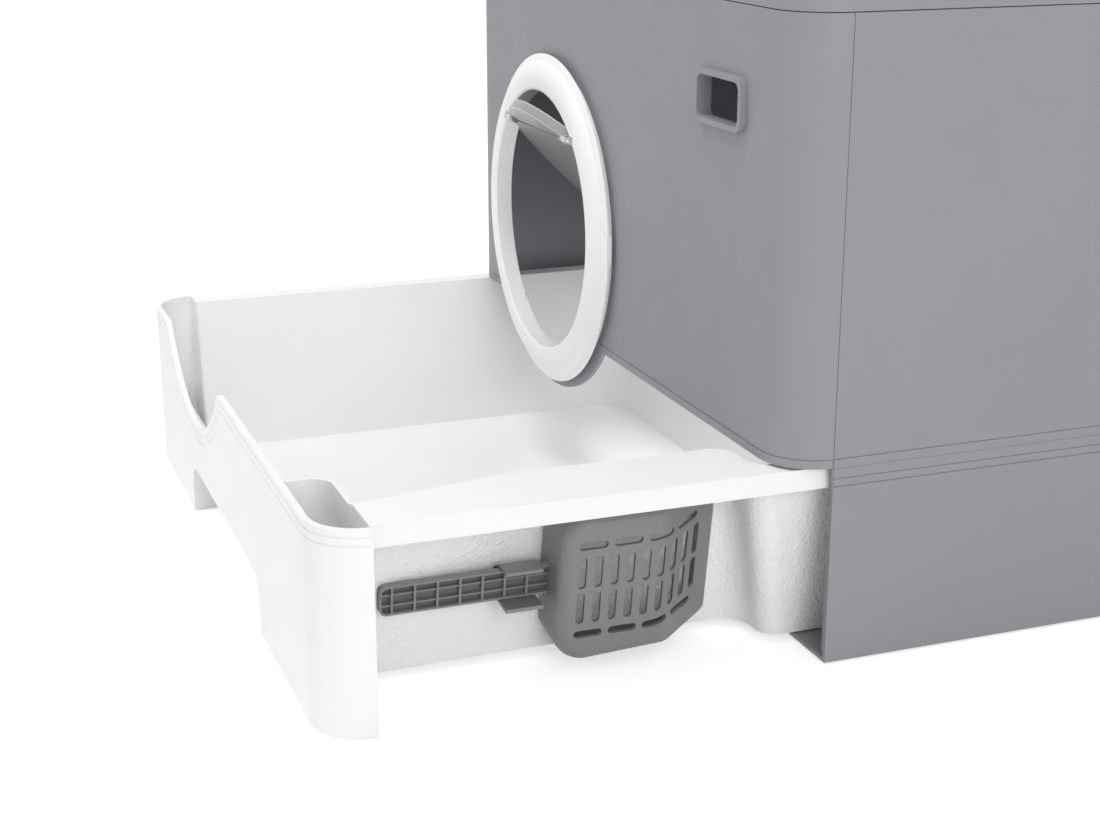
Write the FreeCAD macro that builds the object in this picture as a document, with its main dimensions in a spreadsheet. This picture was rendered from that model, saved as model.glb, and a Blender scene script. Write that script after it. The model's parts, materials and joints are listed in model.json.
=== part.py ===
"""Drawer litter box: a closed cabin over a base tray, with a drawer that pulls out of its long face.

Millimetres. X runs across the wide front, +Y runs back into the cabin and +Z is up. The origin is the
centre of the footprint, on the floor. The drawer is drawn shut and then placed pulled out, and the round
flap is drawn hanging and then placed swung in.
"""

import FreeCAD, Part
import math
import os

import Sketcher

Vector = FreeCAD.Vector
Rotation = FreeCAD.Rotation
XZ_NORMAL = Rotation(Vector(1, 0, 0), 90)
START, END = 1, 2
ROOT = -1

doc = FreeCAD.newDocument("DrawerLitterBox")
sheet = doc.addObject("Spreadsheet::Sheet", "Sizes")
parts = {}
rows = {"count": 0}


class Size:
    """A length with the spreadsheet expression that drives it and its present number."""

    def __init__(self, text, number):
        self.text = text
        self.number = float(number)

    def combine(self, other, sign, number):
        text = other.text if isinstance(other, Size) else repr(float(other))
        return Size("(" + self.text + " " + sign + " " + text + ")", number)

    def __add__(self, other):
        return self.combine(other, "+", self.number + plain(other))

    def __sub__(self, other):
        return self.combine(other, "-", self.number - plain(other))

    def __mul__(self, other):
        return self.combine(other, "*", self.number * plain(other))

    def __truediv__(self, other):
        return self.combine(other, "/", self.number / plain(other))

    def __neg__(self):
        return Size("(0 - " + self.text + ")", -self.number)


def plain(size):
    return size.number if isinstance(size, Size) else float(size)


def cell(alias, number):
    """Store one driving dimension in the next row of the sheet and return it as a Size."""
    rows["count"] += 1
    row = str(rows["count"])
    sheet.set("A" + row, alias)
    sheet.set("B" + row, str(number))
    sheet.setAlias("B" + row, alias)
    return Size("Sizes." + alias, number)


def bind(thing, path, size):
    """Drive one property by the sheet, or set it where it is a plain number."""
    if isinstance(size, Size):
        thing.setExpression(path, size.text)
    else:
        thing.setExpression(path, repr(float(size)))


# --- Driving dimensions -------------------------------------------------------------------------------

# Housing
WIDTH = cell("overall_width", 560)
DEPTH = cell("overall_depth", 420)
HEIGHT = cell("overall_height", 422)
CORNER = cell("corner_radius", 32)
WALL = cell("shell_wall", 3)
FOOT_GAP = cell("foot_gap", 0.8)
FLOOR = cell("tray_floor", 2.5)
BASE_TOP = cell("base_top", 118.8)
BASE_LIP = cell("base_lip_line", 113.7)
SHELL_BOTTOM = cell("front_shell_bottom", 125.4)
TRIM_TOP = cell("trim_band_top", 130.5)
SHELL_TOP = cell("shell_top", 386.6)
LID_GAP = cell("lid_gap", 0.6)
LID_EDGE = cell("lid_edge_radius", 13)
GROOVE = cell("groove_width", 0.8)
GROOVE_DEEP = cell("groove_depth", 0.6)
RAIL_TOP = cell("rail_top", 54)
RAIL_THICK = cell("rail_thickness", 8)

# Entrance ring and flap
RING_X = cell("ring_centre_x", -99)
RING_Z = cell("ring_centre_height", 204)
RING_RADIUS = cell("ring_radius", 122)
TUBE_RADIUS = cell("tube_inner_radius", 96)
SHELL_HOLE = cell("shell_hole_radius", 104.5)
LOBE_RADIUS = cell("lobe_radius", 127)
LOBE_FILLET = cell("lobe_fillet", 6)
SCREW_CIRCLE = cell("ring_screw_circle", 109)
FLAP_RADIUS = cell("flap_radius", 91)
FLAP_THICK = cell("flap_thickness", 2)
FLAP_RIM = cell("flap_rim_depth", 5.3)
HINGE_RISE = cell("flap_hinge_above_centre", 69)
HINGE_Y = cell("flap_hinge_forward", 12)
FLAP_SWING = cell("flap_swing_degrees", 45.9)

# Small port in the front
PORT_X = cell("port_centre_x", 185.6)
PORT_Z = cell("port_centre_height", 329.4)
PORT_WIDE = cell("port_width", 63)
PORT_HIGH = cell("port_height", 32.5)
PORT_RIM = cell("port_rim", 3.4)
PORT_RISE = cell("port_rise", 4)

# Drawer
TRAVEL = cell("drawer_pulled_out", 277)
PANEL_TOP = cell("panel_top", 124.6)
PANEL_WALL = cell("panel_wall", 1.9)
RIM_THICK = cell("panel_rim_thickness", 3.9)
RIM_HIGH = cell("panel_rim_height", 5)
PANEL_LINE = cell("panel_first_line", 119.8)
PANEL_SECOND = cell("panel_second_line", 114.8)
PANEL_FOOT = cell("panel_foot_gap", 0.8)
NOTCH_RADIUS = cell("notch_radius", 129)
NOTCH_FILLET = cell("notch_fillet", 8)
ARCH_HALF = cell("arch_half_width", 117.5)
ARCH_HIGH = cell("arch_height", 38)
ARCH_DEEP = cell("arch_depth", 17.5)
ARCH_WALL = cell("arch_wall", 2.4)
TUB_BOTTOM = cell("tub_bottom", 4.3)
TUB_TOP = cell("tub_top", 123.8)
TUB_WALL = cell("tub_wall", 2.8)
TUB_HALF = cell("tub_half_width", 259)
TUB_DRAFT = cell("tub_draft", 19)
TUB_BACK = cell("tub_back", 411)
TUB_FRONT = cell("tub_front_top", 2.3)
TUB_FRONT_WALL = cell("tub_front_wall", 1.6)
STEP_HIGH = cell("front_step_high", 60)
STEP_LOW = cell("front_step_low", 42)
STEP_BACK = cell("front_step_back", 18.5)
FRONT_FOOT = cell("front_foot_back", 24)
ALCOVE_X = cell("alcove_side_x", 276.6)
ALCOVE_BACK = cell("alcove_back", 34.8)
RECESS_X = cell("recess_top_x", 220)
RECESS_DRAFT = cell("recess_draft", 16)
FLANGE_HALF = cell("flange_half_width", 272)
FLANGE_THICK = cell("flange_thickness", 2.5)
FLANGE_FRONT = cell("flange_front", 32)
FLANGE_BACK = cell("flange_back_y", 201)
FLANGE_CORNER = cell("flange_corner", 26)
SKIRT_BOTTOM = cell("skirt_bottom", 110.5)

# Scoop and its clip, measured before they are tilted
SCOOP_TILT = cell("scoop_tilt_degrees", 9)
SCOOP_MID = cell("scoop_mid_height", 59)
SCOOP_HALF = cell("scoop_half_width", 48.8)
SCOOP_FACE = cell("scoop_face_x", 246.8)
SCOOP_RIM = cell("scoop_rim_x", 213.5)
SCOOP_HEEL = cell("scoop_heel_y", 151.9)
SCOOP_TIP = cell("scoop_tip_y", 265)
SCOOP_BEND = cell("scoop_bend_y", 216.6)
SCOOP_SLOPE = cell("scoop_slope_degrees", 35.75)
BEND_RADIUS = cell("scoop_bend_radius", 30.5)
SCOOP_ROUND = cell("scoop_edge_radius", 9.1)
HEEL_CORNER = cell("scoop_heel_corner", 20.3)
TIP_CORNER = cell("scoop_tip_corner", 7)
HEEL_DROP = cell("scoop_heel_drop", 2.6)
TIP_RISE = cell("scoop_tip_rise", 1.9)
SCOOP_WALL = cell("scoop_wall", 2.2)
SLOT_PITCH = cell("slot_pitch", 10.19)
SLOT_WIDE = cell("slot_width", 5.1)
SLOT_LONG = cell("slot_length", 21.1)
HANDLE_FACE = cell("handle_face_x", 226.2)
HANDLE_MID = cell("handle_mid_height", 57.7)
HANDLE_DEEP = cell("handle_depth", 4.6)
HANDLE_HALF = cell("handle_half_width", 9.7)
HANDLE_START = cell("handle_start_y", 48.4)
HANDLE_WALL = cell("handle_wall", 1.3)
HANDLE_RIB = cell("handle_rib_pitch", 13.75)
CLIP_FRONT = cell("clip_front", 122.1)
CLIP_LONG = cell("clip_length", 23.1)

doc.recompute()

FRONT = -(DEPTH / 2)
BACK = DEPTH / 2
HALF = WIDTH / 2
SEAM = FRONT + CORNER + 0.3
BIG = 900


# --- Makers of plain solids ---------------------------------------------------------------------------


def named(kind, label):
    made = doc.addObject(kind, label.replace(" ", "_"))
    made.Label = label
    return made


def box(label, x_range, y_range, z_range):
    """A block between two sizes on each axis."""
    made = named("Part::Box", label)
    for prop, axis, span in (("Length", "x", x_range), ("Width", "y", y_range), ("Height", "z", z_range)):
        low, high = span
        bind(made, prop, as_size(high) - low)
        bind(made, "Placement.Base." + axis, low)
    return made


def as_size(value):
    return value if isinstance(value, Size) else Size(repr(float(value)), value)


AXIS_TURN = {
    "X": Rotation(Vector(0, 1, 0), 90),
    "Y": Rotation(Vector(1, 0, 0), -90),
    "Z": Rotation(),
}


def rod(label, axis, radius, span, centre):
    """A cylinder along X, Y or Z from span[0] to span[1], with its other two coordinates in centre."""
    made = named("Part::Cylinder", label)
    low, high = span
    bind(made, "Radius", radius)
    bind(made, "Height", as_size(high) - low)
    made.Placement = FreeCAD.Placement(Vector(), AXIS_TURN[axis])
    others = [name for name in "XYZ" if name != axis]
    bind(made, "Placement.Base." + axis.lower(), low)
    for name, value in zip(others, centre):
        bind(made, "Placement.Base." + name.lower(), value)
    return made


def side_span(side, near, far):
    """A span along X on the right side, or its mirror image on the left side."""
    return (as_size(near), as_size(far)) if side > 0 else (-as_size(far), -as_size(near))


def fuse(label, pieces):
    made = named("Part::MultiFuse", label)
    made.Shapes = pieces
    return made


def cut(label, base, tools):
    made = named("Part::Cut", label)
    made.Base = base
    made.Tool = tools[0] if len(tools) == 1 else fuse(label + " tools", tools)
    return made


def common(label, first, second):
    made = named("Part::MultiCommon", label)
    made.Shapes = [first, second]
    return made


def origin_plane(body, role):
    return [feature for feature in body.Origin.OriginFeatures if feature.Role == role][0]


def new_sketch(body, label, role):
    sketch = body.newObject("Sketcher::SketchObject", label.replace(" ", "_") + "_sketch")
    sketch.AttachmentSupport = [(origin_plane(body, role), "")]
    sketch.MapMode = "FlatFace"
    return sketch


def rounded_rectangle(sketch, half_x, half_y, radius):
    """Add a centred rectangle with round corners, held by four distances and one radius."""
    first = sketch.GeometryCount
    x, y, r = plain(half_x), plain(half_y), plain(radius)
    corners = ((x - r, y - r, 0), (r - x, y - r, 90), (r - x, r - y, 180), (x - r, r - y, 270))
    for centre_x, centre_y, start in corners:
        circle = Part.Circle(Vector(centre_x, centre_y, 0), Vector(0, 0, 1), r)
        sketch.addGeometry(Part.ArcOfCircle(circle, math.radians(start), math.radians(start + 90)))
    sides = (((x - r, y), (r - x, y)), ((-x, y - r), (-x, r - y)), ((r - x, -y), (x - r, -y)), ((x, r - y), (x, y - r)))
    for begin, finish in sides:
        sketch.addGeometry(Part.LineSegment(Vector(begin[0], begin[1], 0), Vector(finish[0], finish[1], 0)))
    for corner in range(4):
        side = first + 4 + corner
        sketch.addConstraint(Sketcher.Constraint("Tangent", first + corner, END, side, START))
        sketch.addConstraint(Sketcher.Constraint("Tangent", side, END, first + (corner + 1) % 4, START))
    for corner in range(3):
        sketch.addConstraint(Sketcher.Constraint("Equal", first + corner, first + corner + 1))
    for side in (0, 2):
        sketch.addConstraint(Sketcher.Constraint("Horizontal", first + 4 + side))
        sketch.addConstraint(Sketcher.Constraint("Vertical", first + 5 + side))
    held(sketch, "Radius", (first,), r, radius)
    held(sketch, "DistanceY", (ROOT, 1, first + 4, START), y, half_y)
    held(sketch, "DistanceY", (first + 6, START, ROOT, 1), y, half_y)
    held(sketch, "DistanceX", (ROOT, 1, first + 7, START), x, half_x)
    held(sketch, "DistanceX", (first + 5, START, ROOT, 1), x, half_x)


def held(sketch, kind, picks, number, size):
    """Add one dimension to a sketch and let the sheet drive it."""
    index = sketch.addConstraint(Sketcher.Constraint(kind, *picks, number))
    if isinstance(size, Size):
        sketch.setExpression("Constraints[" + str(index) + "]", size.text)


def closed_profile(sketch, points):
    """Add a closed polygon whose corners are held by their distances from the origin."""
    first = sketch.GeometryCount
    count = len(points)
    corners = [Vector(plain(x), plain(y), 0) for x, y in points]
    for index in range(count):
        sketch.addGeometry(Part.LineSegment(corners[index], corners[(index + 1) % count]))
    for index in range(count):
        following = first + (index + 1) % count
        sketch.addConstraint(Sketcher.Constraint("Coincident", first + index, END, following, START))
    for index, (x, y) in enumerate(points):
        held(sketch, "DistanceX", (ROOT, 1, first + index, START), plain(x), x)
        held(sketch, "DistanceY", (ROOT, 1, first + index, START), plain(y), y)


def placed(body, centre):
    for axis, value in zip("xyz", centre):
        bind(body, "Placement.Base." + axis, value)


def slab(label, half_x, half_y, radius, z_range):
    """A rounded rectangular plate about the Z axis, as a body with one pad."""
    body = named("PartDesign::Body", label)
    sketch = new_sketch(body, label, "XY_Plane")
    rounded_rectangle(sketch, half_x, half_y, radius)
    pad = body.newObject("PartDesign::Pad", label.replace(" ", "_") + "_pad")
    pad.Profile = sketch
    bind(pad, "Length", as_size(z_range[1]) - z_range[0])
    placed(body, (0, 0, z_range[0]))
    return body


def band(label, outer_inset, thickness, z_range):
    """The housing's outline as a wall: outer_inset in from the outside, and of the given thickness."""
    body = named("PartDesign::Body", label)
    sketch = new_sketch(body, label, "XY_Plane")
    inner = as_size(outer_inset) + thickness
    rounded_rectangle(sketch, HALF - outer_inset, DEPTH / 2 - outer_inset, CORNER - outer_inset)
    rounded_rectangle(sketch, HALF - inner, DEPTH / 2 - inner, CORNER - inner)
    pad = body.newObject("PartDesign::Pad", label.replace(" ", "_") + "_pad")
    pad.Profile = sketch
    bind(pad, "Length", as_size(z_range[1]) - z_range[0])
    placed(body, (0, 0, z_range[0]))
    return body


def groove_band(label, z_low, deep=GROOVE_DEEP):
    """A cutter for a fine line round the outside of the housing."""
    return band(label, -deep, as_size(deep) * 2, (z_low, as_size(z_low) + GROOVE))


def front_plate(label, half_x, half_z, radius, y_range, centre):
    """A rounded rectangular plate that faces the front, about a point of the XZ plane."""
    body = named("PartDesign::Body", label)
    sketch = new_sketch(body, label, "XY_Plane")
    rounded_rectangle(sketch, half_x, half_z, radius)
    pad = body.newObject("PartDesign::Pad", label.replace(" ", "_") + "_pad")
    pad.Profile = sketch
    bind(pad, "Length", as_size(y_range[1]) - y_range[0])
    body.Placement = FreeCAD.Placement(Vector(), XZ_NORMAL)
    placed(body, (centre[0], y_range[1], centre[1]))
    return body


def turned(label, points, centre):
    """A solid turned about an axis along Y: each point is (radius, distance behind the front face)."""
    body = named("PartDesign::Body", label)
    sketch = new_sketch(body, label, "XY_Plane")
    closed_profile(sketch, points)
    revolution = body.newObject("PartDesign::Revolution", label.replace(" ", "_") + "_turn")
    revolution.Profile = sketch
    revolution.ReferenceAxis = (sketch, ["V_Axis"])
    revolution.Angle = 360
    placed(body, centre)
    return body


def arc_points(centre, radius, first, last, steps):
    """Points along a round stretch of a profile, from one angle to another in degrees."""
    made = []
    for step in range(steps + 1):
        angle = math.radians(first + (last - first) * step / steps)
        made.append((centre[0] + radius * math.cos(angle), centre[1] + radius * math.sin(angle)))
    return made


def keep(node, source, move=None):
    """Take a finished object as the sub-part of that name, with its own place in the assembly."""
    source.Label = node
    if move is not None:
        source.Placement = move
    parts[node] = source
    return source


def feature(label, shape):
    made = named("Part::Feature", label)
    made.Shape = shape
    return made


# --- Outlines that dip round the entrance ring --------------------------------------------------------


def dipped_face(radius, fillet, line, top):
    """A face in the XZ plane under the level `top`, whose lower edge `line` dips round the ring."""
    drop = RING_Z.number - line
    fillet_z = line - fillet
    reach = math.sqrt((radius + fillet) ** 2 - (drop + fillet) ** 2)
    touch = radius / (radius + fillet)

    def at(x, z):
        return Vector(RING_X.number + x, 0, z)

    half_turn = math.atan2(reach, drop + fillet)
    touch_point = (reach * touch, RING_Z.number - (drop + fillet) * touch)
    bend_point = (reach - fillet * math.sin(half_turn / 2), fillet_z + fillet * math.cos(half_turn / 2))
    left = Part.Arc(at(-reach, line), at(-bend_point[0], bend_point[1]), at(-touch_point[0], touch_point[1]))
    dip = Part.Arc(at(-touch_point[0], touch_point[1]), at(0, RING_Z.number - radius), at(*touch_point))
    right = Part.Arc(at(*touch_point), at(*bend_point), at(reach, line))
    top_edges = [
        Part.LineSegment(at(reach, line), at(reach, top)),
        Part.LineSegment(at(reach, top), at(-reach, top)),
        Part.LineSegment(at(-reach, top), at(-reach, line)),
    ]
    edges = [curve.toShape() for curve in [left, dip, right] + top_edges]
    return Part.Face(Part.Wire(edges))


def dipped_solid(label, radius, fillet, line, top, thickness, start=0):
    """The dipped face as a plate, from `start` behind the front face."""
    face = dipped_face(plain(radius), plain(fillet), plain(line), plain(top))
    made = feature(label, face.extrude(Vector(0, plain(thickness), 0)))
    made.Placement = FreeCAD.Placement(Vector(0, FRONT.number + start, 0), Rotation())
    return made


# --- Base ---------------------------------------------------------------------------------------------


def make_base_tray():
    """Open-fronted tray: floor, side walls and back wall, with two fine lip lines round the top."""
    behind_panel = box("behind panel", (-BIG, BIG), (SEAM + 0.7, BIG), (-10, BIG))
    floor = slab("tray floor", HALF, DEPTH / 2, CORNER, (FOOT_GAP, FOOT_GAP + FLOOR))
    walls = band("tray walls", 0, WALL, (FOOT_GAP, BASE_TOP))
    shape = common("tray blank", fuse("tray block", [floor, walls]), behind_panel)
    tools = [groove_band("lip line", BASE_LIP - GROOVE / 2), groove_band("top line", BASE_TOP - GROOVE / 2)]
    tools += pad_cylinders("pad seat", PAD_RADIUS + 0.2, (0, FOOT_GAP + 1.2))
    keep("base_tray", cut("base_tray", shape, tools))


PAD_RADIUS = 12
PAD_INSET_X = 50
PAD_INSET_Y = 60


def pad_cylinders(label, radius, z_range):
    """One disc under the middle of the tray and one near each corner."""
    made = [rod(label, "Z", radius, z_range, (0, 0))]
    for side_x in (-1, 1):
        for side_y in (-1, 1):
            x = (HALF - PAD_INSET_X) * side_x
            y = (DEPTH / 2 - PAD_INSET_Y) * side_y
            made.append(rod(label, "Z", radius, z_range, (x, y)))
    return made


def make_pads():
    discs = pad_cylinders("pad", PAD_RADIUS, (0, FOOT_GAP + 1.2))
    keep("anti_slip_pads", fuse("anti_slip_pads", discs))


RAIL_START = 4.2
STOP_LONG = 10
RAIL_SCREWS_Y = (-120, 0, 120)
RAIL_SCREW_Z = 30


def make_rail(side, node):
    """Side rail that the drawer's runners slide on, screwed through from the inside."""
    outer = HALF - WALL
    inner = outer - RAIL_THICK
    span_x = side_span(side, inner, outer)
    rail_front = SEAM + RAIL_START
    block = box(node + " block", span_x, (rail_front, BACK - CORNER), (FOOT_GAP + FLOOR, RAIL_TOP))
    stop_block = box(node + " stop", span_x, (rail_front, rail_front + STOP_LONG), (RAIL_TOP - 1, RAIL_TOP + 8))
    holes = []
    for y in RAIL_SCREWS_Y:
        place = (y, RAIL_SCREW_Z)
        holes.append(rod(node + " head seat", "X", 4.2, side_span(side, inner - 1, inner + 2.4), place))
        holes.append(rod(node + " shank hole", "X", 1.8, side_span(side, inner - 1, outer + 1), place))
    keep(node, cut(node, fuse(node + " body", [block, stop_block]), holes))


def make_rail_screws():
    """Flat-headed screws that stop short of the tray wall's outer face."""
    screws = []
    outer = HALF - WALL
    inner = outer - RAIL_THICK
    for side in (-1, 1):
        for y in RAIL_SCREWS_Y:
            place = (y, RAIL_SCREW_Z)
            head = rod("rail screw head", "X", 3.8, side_span(side, inner + 0.4, inner + 2.4), place)
            shank = rod("rail screw shank", "X", 1.6, side_span(side, inner + 2.2, outer), place)
            screws.append(fuse("rail screw", [head, shank]))
    keep("rail_screws", fuse("rail_screws", screws))


# --- Upper shells -------------------------------------------------------------------------------------


def make_front_shell():
    """Front wall with its two round corners, the ring's hole, the small port and the dipped trim band."""
    corner_zone = box("front zone", (-BIG, BIG), (FRONT - 1, SEAM), (SHELL_BOTTOM, SHELL_TOP))
    wall = common("front wall", band("front band", 0, WALL, (SHELL_BOTTOM, SHELL_TOP)), corner_zone)
    lobe = dipped_solid("front lobe", LOBE_RADIUS, LOBE_FILLET, SHELL_BOTTOM, SHELL_BOTTOM + 40, WALL)
    hole = rod("ring hole", "Y", SHELL_HOLE, (FRONT - 20, FRONT + 20), (RING_X, RING_Z))
    port = front_plate("port hole", PORT_WIDE / 2 - PORT_RIM + 1.8, PORT_HIGH / 2 - PORT_RIM + 1.8, 6.5,
                       (FRONT - 20, FRONT + 20), (PORT_X, PORT_Z))
    tools = [hole, port, groove_band("front trim line", TRIM_TOP)]
    tools += ring_screw_rods("shell screw hole", SCREW_RADIUS + 0.2, (FRONT - 1, FRONT + 4))
    keep("front_shell", cut("front_shell", fuse("front blank", [wall, lobe]), tools))


def make_back_shell():
    zone = box("back zone", (-BIG, BIG), (BACK - CORNER - 0.3, BACK + 1), (BASE_TOP, SHELL_TOP))
    wall = common("back wall", band("back band", 0, WALL, (BASE_TOP, SHELL_TOP)), zone)
    keep("back_shell", cut("back_shell", wall, [groove_band("back trim line", TRIM_TOP)]))


SEAM_LINE = 0.5


def make_side_panel(side, node):
    """Flat side wall between the two corner shells, with the trim lines carried round it."""
    x_range = (HALF - CORNER, BIG) if side > 0 else (-BIG, -(HALF - CORNER))
    zone = box(node + " zone", x_range, (SEAM, -SEAM), (BASE_TOP, SHELL_TOP))
    wall = common(node + " wall", band(node + " band", 0, WALL, (BASE_TOP, SHELL_TOP)), zone)
    tools = [
        groove_band(node + " trim line", TRIM_TOP),
        groove_band(node + " faint line", SHELL_BOTTOM - 0.6, 0.25),
    ]
    outer = (HALF - SEAM_LINE, HALF + 1) if side > 0 else (-(HALF + 1), -(HALF - SEAM_LINE))
    tools.append(box(node + " front seam", outer, (SEAM - 1, SEAM + SEAM_LINE), (0, BIG)))
    tools.append(box(node + " back seam", outer, (-(SEAM + SEAM_LINE), -(SEAM - 1)), (0, BIG)))
    keep(node, cut(node, wall, tools))


def make_seam_strips():
    """Four upright strips inside the shells that bridge the seams between corner shells and side panels."""
    strips = []
    inner = HALF - WALL
    for side in (-1, 1):
        x_range = (inner - 2.5, inner) if side > 0 else (-inner, -(inner - 2.5))
        for y in (SEAM, -SEAM):
            strips.append(box("seam strip", x_range, (y - 9, y + 9), (SHELL_BOTTOM + 10, SHELL_TOP - 12)))
    blank = fuse("seam strip blanks", strips)
    inside = slab("cabin inside", HALF - WALL, DEPTH / 2 - WALL, CORNER - WALL, (0, 500))
    keep("seam_strips", common("seam_strips", blank, inside))


# --- Lid ----------------------------------------------------------------------------------------------

HINGE_OUT = 7
KNUCKLE = 5
KNUCKLE_X = 150
KNUCKLE_HALF = 16
BRACKET_LONG = 9


def make_lid():
    """Hollow lid with a rounded top edge and two hinge knuckles at the back."""
    body = named("PartDesign::Body", "lid shell")
    sketch = new_sketch(body, "lid", "XY_Plane")
    rounded_rectangle(sketch, HALF, DEPTH / 2, CORNER)
    pad = body.newObject("PartDesign::Pad", "lid_pad")
    pad.Profile = sketch
    bottom = SHELL_TOP + LID_GAP
    bind(pad, "Length", HEIGHT - bottom)
    doc.recompute()
    top_face = max(range(len(pad.Shape.Faces)), key=lambda i: pad.Shape.Faces[i].CenterOfMass.z)
    edge = body.newObject("PartDesign::Fillet", "lid_edge")
    edge.Base = (pad, ["Face" + str(top_face + 1)])
    bind(edge, "Radius", LID_EDGE)
    body.Tip = edge
    placed(body, (0, 0, bottom))
    hollow = slab("lid hollow", HALF - WALL, DEPTH / 2 - WALL, CORNER - WALL, (bottom - 1, HEIGHT - LID_EDGE))
    crown = slab("lid crown hollow", HALF - LID_EDGE, DEPTH / 2 - LID_EDGE, CORNER - LID_EDGE, (bottom, HEIGHT - WALL))
    panel_cut = slab("lid recess", HALF - 26, DEPTH / 2 - 26, 20, (HEIGHT - 1, HEIGHT + 1))
    shell = cut("lid hollowed", body, [hollow, crown, panel_cut])
    knuckles = []
    for x in (-KNUCKLE_X, KNUCKLE_X):
        span = (x - KNUCKLE_HALF, x + KNUCKLE_HALF)
        barrel = rod("lid knuckle", "X", KNUCKLE, span, (hinge_y(), hinge_z()))
        web = box("lid web", span, (BACK - 0.5, hinge_y()), (hinge_z(), hinge_z() + KNUCKLE))
        bore = rod("lid knuckle bore", "X", 2.06, (x - 30, x + 30), (hinge_y(), hinge_z()))
        knuckles.append(cut("lid hinge", fuse("lid hinge blank", [barrel, web]), [bore]))
    keep("top_lid", fuse("top_lid", [shell] + knuckles))


def hinge_y():
    return BACK + HINGE_OUT


def hinge_z():
    return SHELL_TOP + 5


def make_lid_brackets():
    """Hinge ears on the back shell, either side of each lid knuckle, and the foot plates that carry them."""
    ears = []
    for x in (-KNUCKLE_X, KNUCKLE_X):
        foot = box("hinge foot", (x - 28, x + 28), (BACK, BACK + 2.4), (SHELL_TOP - 34, SHELL_TOP - 9))
        ears.append(foot)
        for side in (-1, 1):
            near = x + side * (KNUCKLE_HALF + 0.5)
            far = x + side * (KNUCKLE_HALF + BRACKET_LONG)
            span = (min(near, far), max(near, far))
            barrel = rod("ear barrel", "X", KNUCKLE, span, (hinge_y(), hinge_z()))
            arm = box("ear arm", span, (BACK + 2, hinge_y() + 3.2), (SHELL_TOP - 30, hinge_z() - 1))
            bore = rod("ear bore", "X", 2.0, (x - 40, x + 40), (hinge_y(), hinge_z()))
            relief = box("ear relief", (x - 40, x + 40), (BACK - 1, BACK + 2.6), (SHELL_TOP - 9, BIG))
            ears.append(cut("ear", fuse("ear blank", [barrel, arm]), [bore, relief]))
    keep("lid_hinge_brackets", fuse("lid_hinge_brackets", ears))


def make_lid_pins():
    """Hinge pins, held in the ears; the lid's knuckles turn on them."""
    pins = []
    for x in (-KNUCKLE_X, KNUCKLE_X):
        reach = KNUCKLE_HALF + BRACKET_LONG
        pins.append(rod("lid pin", "X", 2.0, (x - reach, x + reach), (hinge_y(), hinge_z())))
    keep("lid_hinge_pins", fuse("lid_hinge_pins", pins))


# --- Entrance ring and flap ---------------------------------------------------------------------------

RING_SCREWS = 4
RING_SCREW_START = 45
SCREW_RADIUS = 1.75


def ring_screw_rods(label, radius, y_range):
    """Rods along Y, evenly spaced on the ring's screw circle."""
    made = []
    for index in range(RING_SCREWS):
        angle = math.radians(RING_SCREW_START + index * 360 / RING_SCREWS)
        x = RING_X + SCREW_CIRCLE * math.sin(angle)
        z = RING_Z + SCREW_CIRCLE * math.cos(angle)
        made.append(rod(label, "Y", radius, y_range, (x, z)))
    return made


def ring_profile():
    """Section of the ring: a straight inner tube, a domed front, a thin edge clear of the shell and a collar."""
    outer = RING_RADIUS
    inner = TUBE_RADIUS
    dome = (inner + 9, 4.7)
    front = [(inner, 0), (inner, -11.9), (inner + 0.6, -12.4), (inner + 2, -12.75)]
    front += arc_points(dome, 17.6, -90, -48, 6)
    edge = [
        (outer - 4.8, -7.8), (outer - 0.6, -6.3), (outer, -5.8), (outer, -4.6), (outer - 1.4, -4.6),
        (outer - 6.5, -6.4), (outer - 6.5, 0), (outer - 8.5, 0),
    ]
    back = arc_points(dome, 15.4, -56.5, -90, 4)
    return front + edge + back + [(inner + 3, -10.7), (inner + 3, 0)]


def make_entrance_ring():
    """Domed ring with a short tube, screw bosses behind, a small tab on its edge and two ears for the flap."""
    outer = RING_X + RING_RADIUS
    shell = turned("ring shell", ring_profile(), (RING_X, FRONT, RING_Z))
    bosses = ring_screw_rods("ring boss", 4, (FRONT - 10.8, FRONT))
    tab = box("ring tab", (outer - 2, outer + 0.3), (FRONT - 6.5, FRONT - 3.4), (RING_Z - 9, RING_Z + 11))
    bores = ring_screw_rods("ring bore", SCREW_RADIUS, (FRONT - 7.4, FRONT + 1))
    y, z = hinge_centre()
    for side in (-1, 1):
        span = side_span_about(RING_X, side, EAR_INNER - 2, EAR_INNER + 2.7)
        bores.append(rod("ear bore", "X", PIN_RADIUS + 0.06, span, (y, z)))
    blank = fuse("ring blank", [shell, tab] + bosses + ring_ears())
    keep("entrance_ring", cut("entrance_ring", blank, bores))


def ring_ears():
    """Two small ears on the inside of the ring's tube that hold the flap's pins."""
    y, z = hinge_centre()
    room = rod("ear room", "Y", TUBE_RADIUS + 1.5, (FRONT - 40, FRONT), (RING_X, RING_Z))
    ears = []
    for side in (-1, 1):
        span = side_span_about(RING_X, side, EAR_INNER, EAR_INNER + 9)
        block = box("ear block", span, (y, FRONT - 4), (z - EAR_NOSE, z + EAR_NOSE))
        nose = rod("ear nose", "X", EAR_NOSE, span, (y, z))
        ears.append(common("ring ear", fuse("ear solid", [block, nose]), room))
    return ears


def side_span_about(centre, side, near, far):
    """A span along X, from near to far on one side of a centre."""
    return (centre + near, centre + far) if side > 0 else (centre - far, centre - near)


def make_ring_screws():
    """Pan-headed screws from inside the cabin, through the shell into the ring's bosses."""
    heads = ring_screw_rods("ring screw head", 2.8, (FRONT + WALL, FRONT + WALL + 1.8))
    shanks = ring_screw_rods("ring screw shank", SCREW_RADIUS, (FRONT - 7, FRONT + WALL + 0.2))
    keep("ring_screws", fuse("ring_screws", heads + shanks))


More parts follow.
